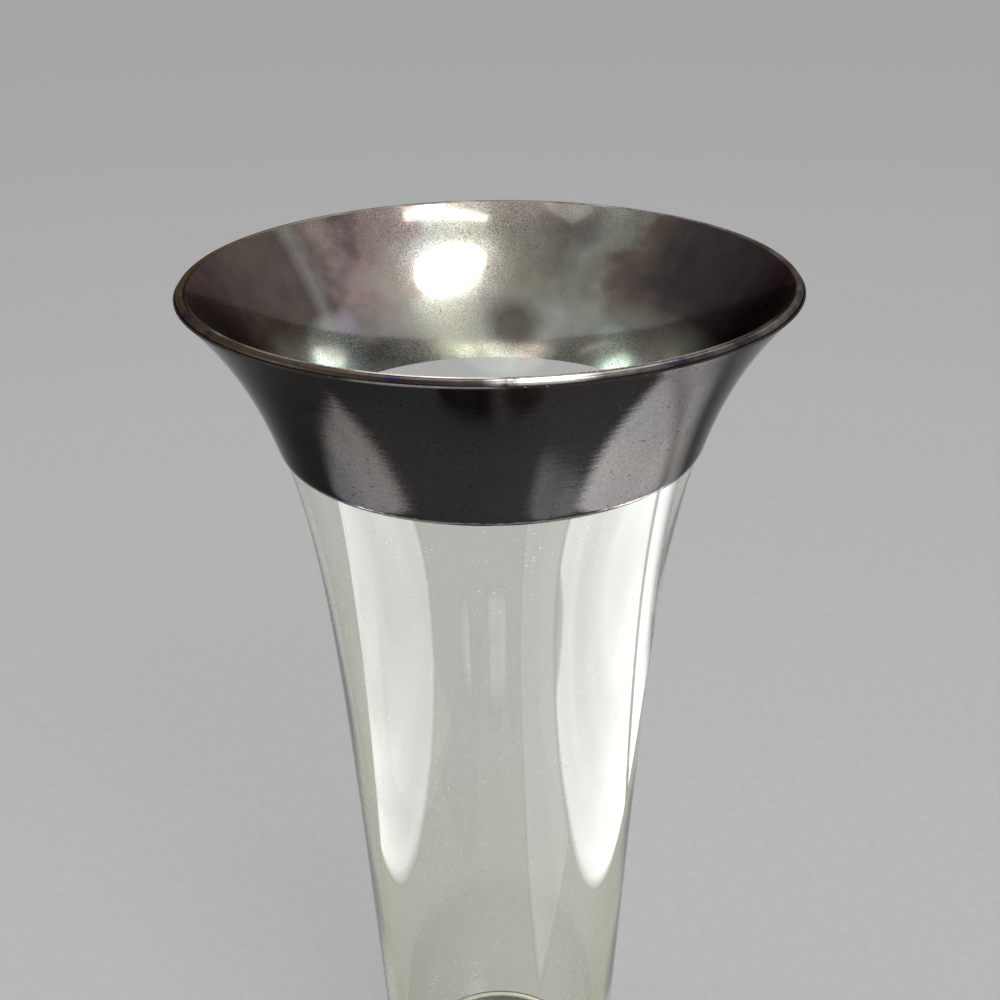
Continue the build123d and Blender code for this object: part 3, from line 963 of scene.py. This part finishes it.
def facing(place, target):
    """The transform of a lamp at a place that shines on a target."""
    turn = (Vector(target) - Vector(place)).to_track_quat("-Z", "Y")
    return Matrix.Translation(place) @ turn.to_matrix().to_4x4()


def pane(name, azimuth, elevation, distance, width, height, radiance, shape="RECTANGLE", roll=0):
    """A flat lamp that faces the mouth, with its radiance as a plain number."""
    data = bpy.data.lights.new(name, "AREA")
    data.shape = shape
    data.size, data.size_y = width, height
    area = width * height * (pi / 4 if shape == "ELLIPSE" else 1)
    data.energy = radiance * pi * area
    lamp = bpy.data.objects.new(name, data)
    bpy.context.scene.collection.objects.link(lamp)
    lamp.matrix_world = (
        facing(from_rim(azimuth, elevation, distance), RIM) @ Matrix.Rotation(radians(roll), 4, "Z")
    )
    lamp.visible_camera = False
    print(f"{name}: {width} x {height} m, {data.energy:.2f} W")


SUN_POWER = 1.75
SUN_SPREAD = radians(50)
sun_data = bpy.data.lights.new("soft_sun", "SUN")
sun_data.energy = SUN_POWER
sun_data.angle = SUN_SPREAD
sun = bpy.data.objects.new("soft_sun", sun_data)
bpy.context.scene.collection.objects.link(sun)
sun.matrix_world = facing(from_rim(160, 66, 1.0), RIM)

pane("pane_low", 24, 41.5, 1.0, 0.45, 0.25, 3.2, roll=-18)
pane("pane_low_round", 24, 41.5, 0.99, 0.58, 0.33, 3.2, shape="ELLIPSE", roll=-20)
pane("pane_high", 30, 65, 1.0, 0.44, 0.058, 5.5, roll=-7)
pane("pane_left", -77, 9, 0.8, 0.15, 0.11, 3.0)
pane("pane_above", -80, 75, 1.0, 0.54, 0.52, 1.3)

# %% [markdown]
# ## Boards on the floor
# Long soft streaks run down both sides of the vase, through the silver and on into the glass.
# Boards that glow, laid flat on the floor around it, make them. They show only where glass or
# silver mirrors them, and they light nothing: a ray that passes straight through the glass sees
# the floor, so no board appears behind the vase, and a ray that has been inside the glass sees
# them weaker, as a second reflection does. Faint stripes and soft edges keep them from looking
# cut out.

# %% The boards
BOARD_LEVEL = 2.0
GLOW = 4.8
THROUGH_GLASS = 0.19
SOFT = 7.0


def board(name, left, right, near, far, share=1.0, tail=SOFT):
    """A glowing board on the floor, between two places each way, in millimetres.

    Its edges are soft, and it fades towards the far one over the tail.
    """
    bm = bmesh.new()
    corners = ((left, near), (right, near), (right, far), (left, far))
    points = [bm.verts.new((x * MM, y * MM, BOARD_LEVEL * MM)) for x, y in corners]
    bmesh.ops.contextual_create(bm, geom=points)
    mesh = bpy.data.meshes.new(name)
    bm.to_mesh(mesh)
    bm.free()
    sheet = bpy.data.objects.new(name, mesh)
    bpy.context.scene.collection.objects.link(sheet)
    sheet.visible_camera = sheet.visible_diffuse = sheet.visible_shadow = False
    glow = bpy.data.materials.new(name)
    glow.use_nodes = True
    glow.cycles.emission_sampling = "NONE"
    nodes, links = glow.node_tree.nodes, glow.node_tree.links
    nodes.remove(nodes["Principled BSDF"])
    where = nodes.new("ShaderNodeTexCoord").outputs["Object"]
    streaks = noise(nodes, links, where, 24, 2, stretch=(1, 0.1, 1))
    level = ramp(nodes, links, streaks, [(0.35, 0.74), (0.62, 1.0)])
    for axis, low, high, ease in (("X", left, right, SOFT), ("Y", near, far, tail)):
        along = coordinate(nodes, links, where, axis)
        for edge, within in ((low, low + SOFT), (high, high - ease)):
            fade = between(nodes, links, along, edge * MM, within * MM)
            level = math(nodes, links, "MULTIPLY", level, fade)
    emission = nodes.new("ShaderNodeEmission")
    strength = math(nodes, links, "MULTIPLY", level, GLOW * share, clamp=False)
    links.new(strength, emission.inputs["Strength"])
    path = nodes.new("ShaderNodeLightPath")
    mirrored = nodes.new("ShaderNodeMixShader")
    links.new(path.outputs["Glossy Depth"], mirrored.inputs[0])
    shade = ramp(nodes, links, path.outputs["Transmission Depth"], [(0, 1.0), (1, THROUGH_GLASS)])
    links.new(shade, emission.inputs["Color"])
    links.new(nodes.new("ShaderNodeBsdfTransparent").outputs[0], mirrored.inputs[1])
    links.new(emission.outputs[0], mirrored.inputs[2])
    links.new(mirrored.outputs[0], nodes["Material Output"].inputs["Surface"])
    sheet.data.materials.append(glow)
    print(f"{name}: {right - left} x {far - near} mm")


board("board_left", -300, -144, -174, 57, 0.84)
board("board_right", 140, 300, -162, 104, 1.18)
board("board_strip", 140, 300, 114, 235, 1.05, tail=100)
board("board_dim", 60, 143, -300, -88, 0.38)
board("board_front_left", -125, -57, -320, -197, 0.5)
board("board_front", -18, 30, -320, -205, 0.4)

# %% [markdown]
# ## The camera
# The camera looks down into the mouth from close in front, with the angle of view of a phone. It
# points a little to the right and leans by about half a degree, as a phone in the hand does.

# %% The camera
LENS = 43.56
SENSOR = 36.0
CAMERA_PLACE = (0, -0.1914, 0.3089)
PITCH, YAW, ROLL = radians(26.788), radians(0.390), radians(-0.584)
camera_data = bpy.data.cameras.new("camera")
camera_data.lens = LENS
camera_data.sensor_width = SENSOR
camera_data.clip_start = 0.01
camera = bpy.data.objects.new("camera", camera_data)
bpy.context.scene.collection.objects.link(camera)
camera.location = CAMERA_PLACE
level_look = Matrix.Rotation(-YAW, 4, "Z") @ Matrix.Rotation(pi / 2 - PITCH, 4, "X")
camera.rotation_euler = (level_look @ Matrix.Rotation(ROLL, 4, "Z")).to_euler()
bpy.context.scene.camera = camera
bpy.context.scene.view_settings.view_transform = "Standard"
print("camera at", [round(v * 1000, 1) for v in camera.location], "mm with a", LENS, "mm lens")
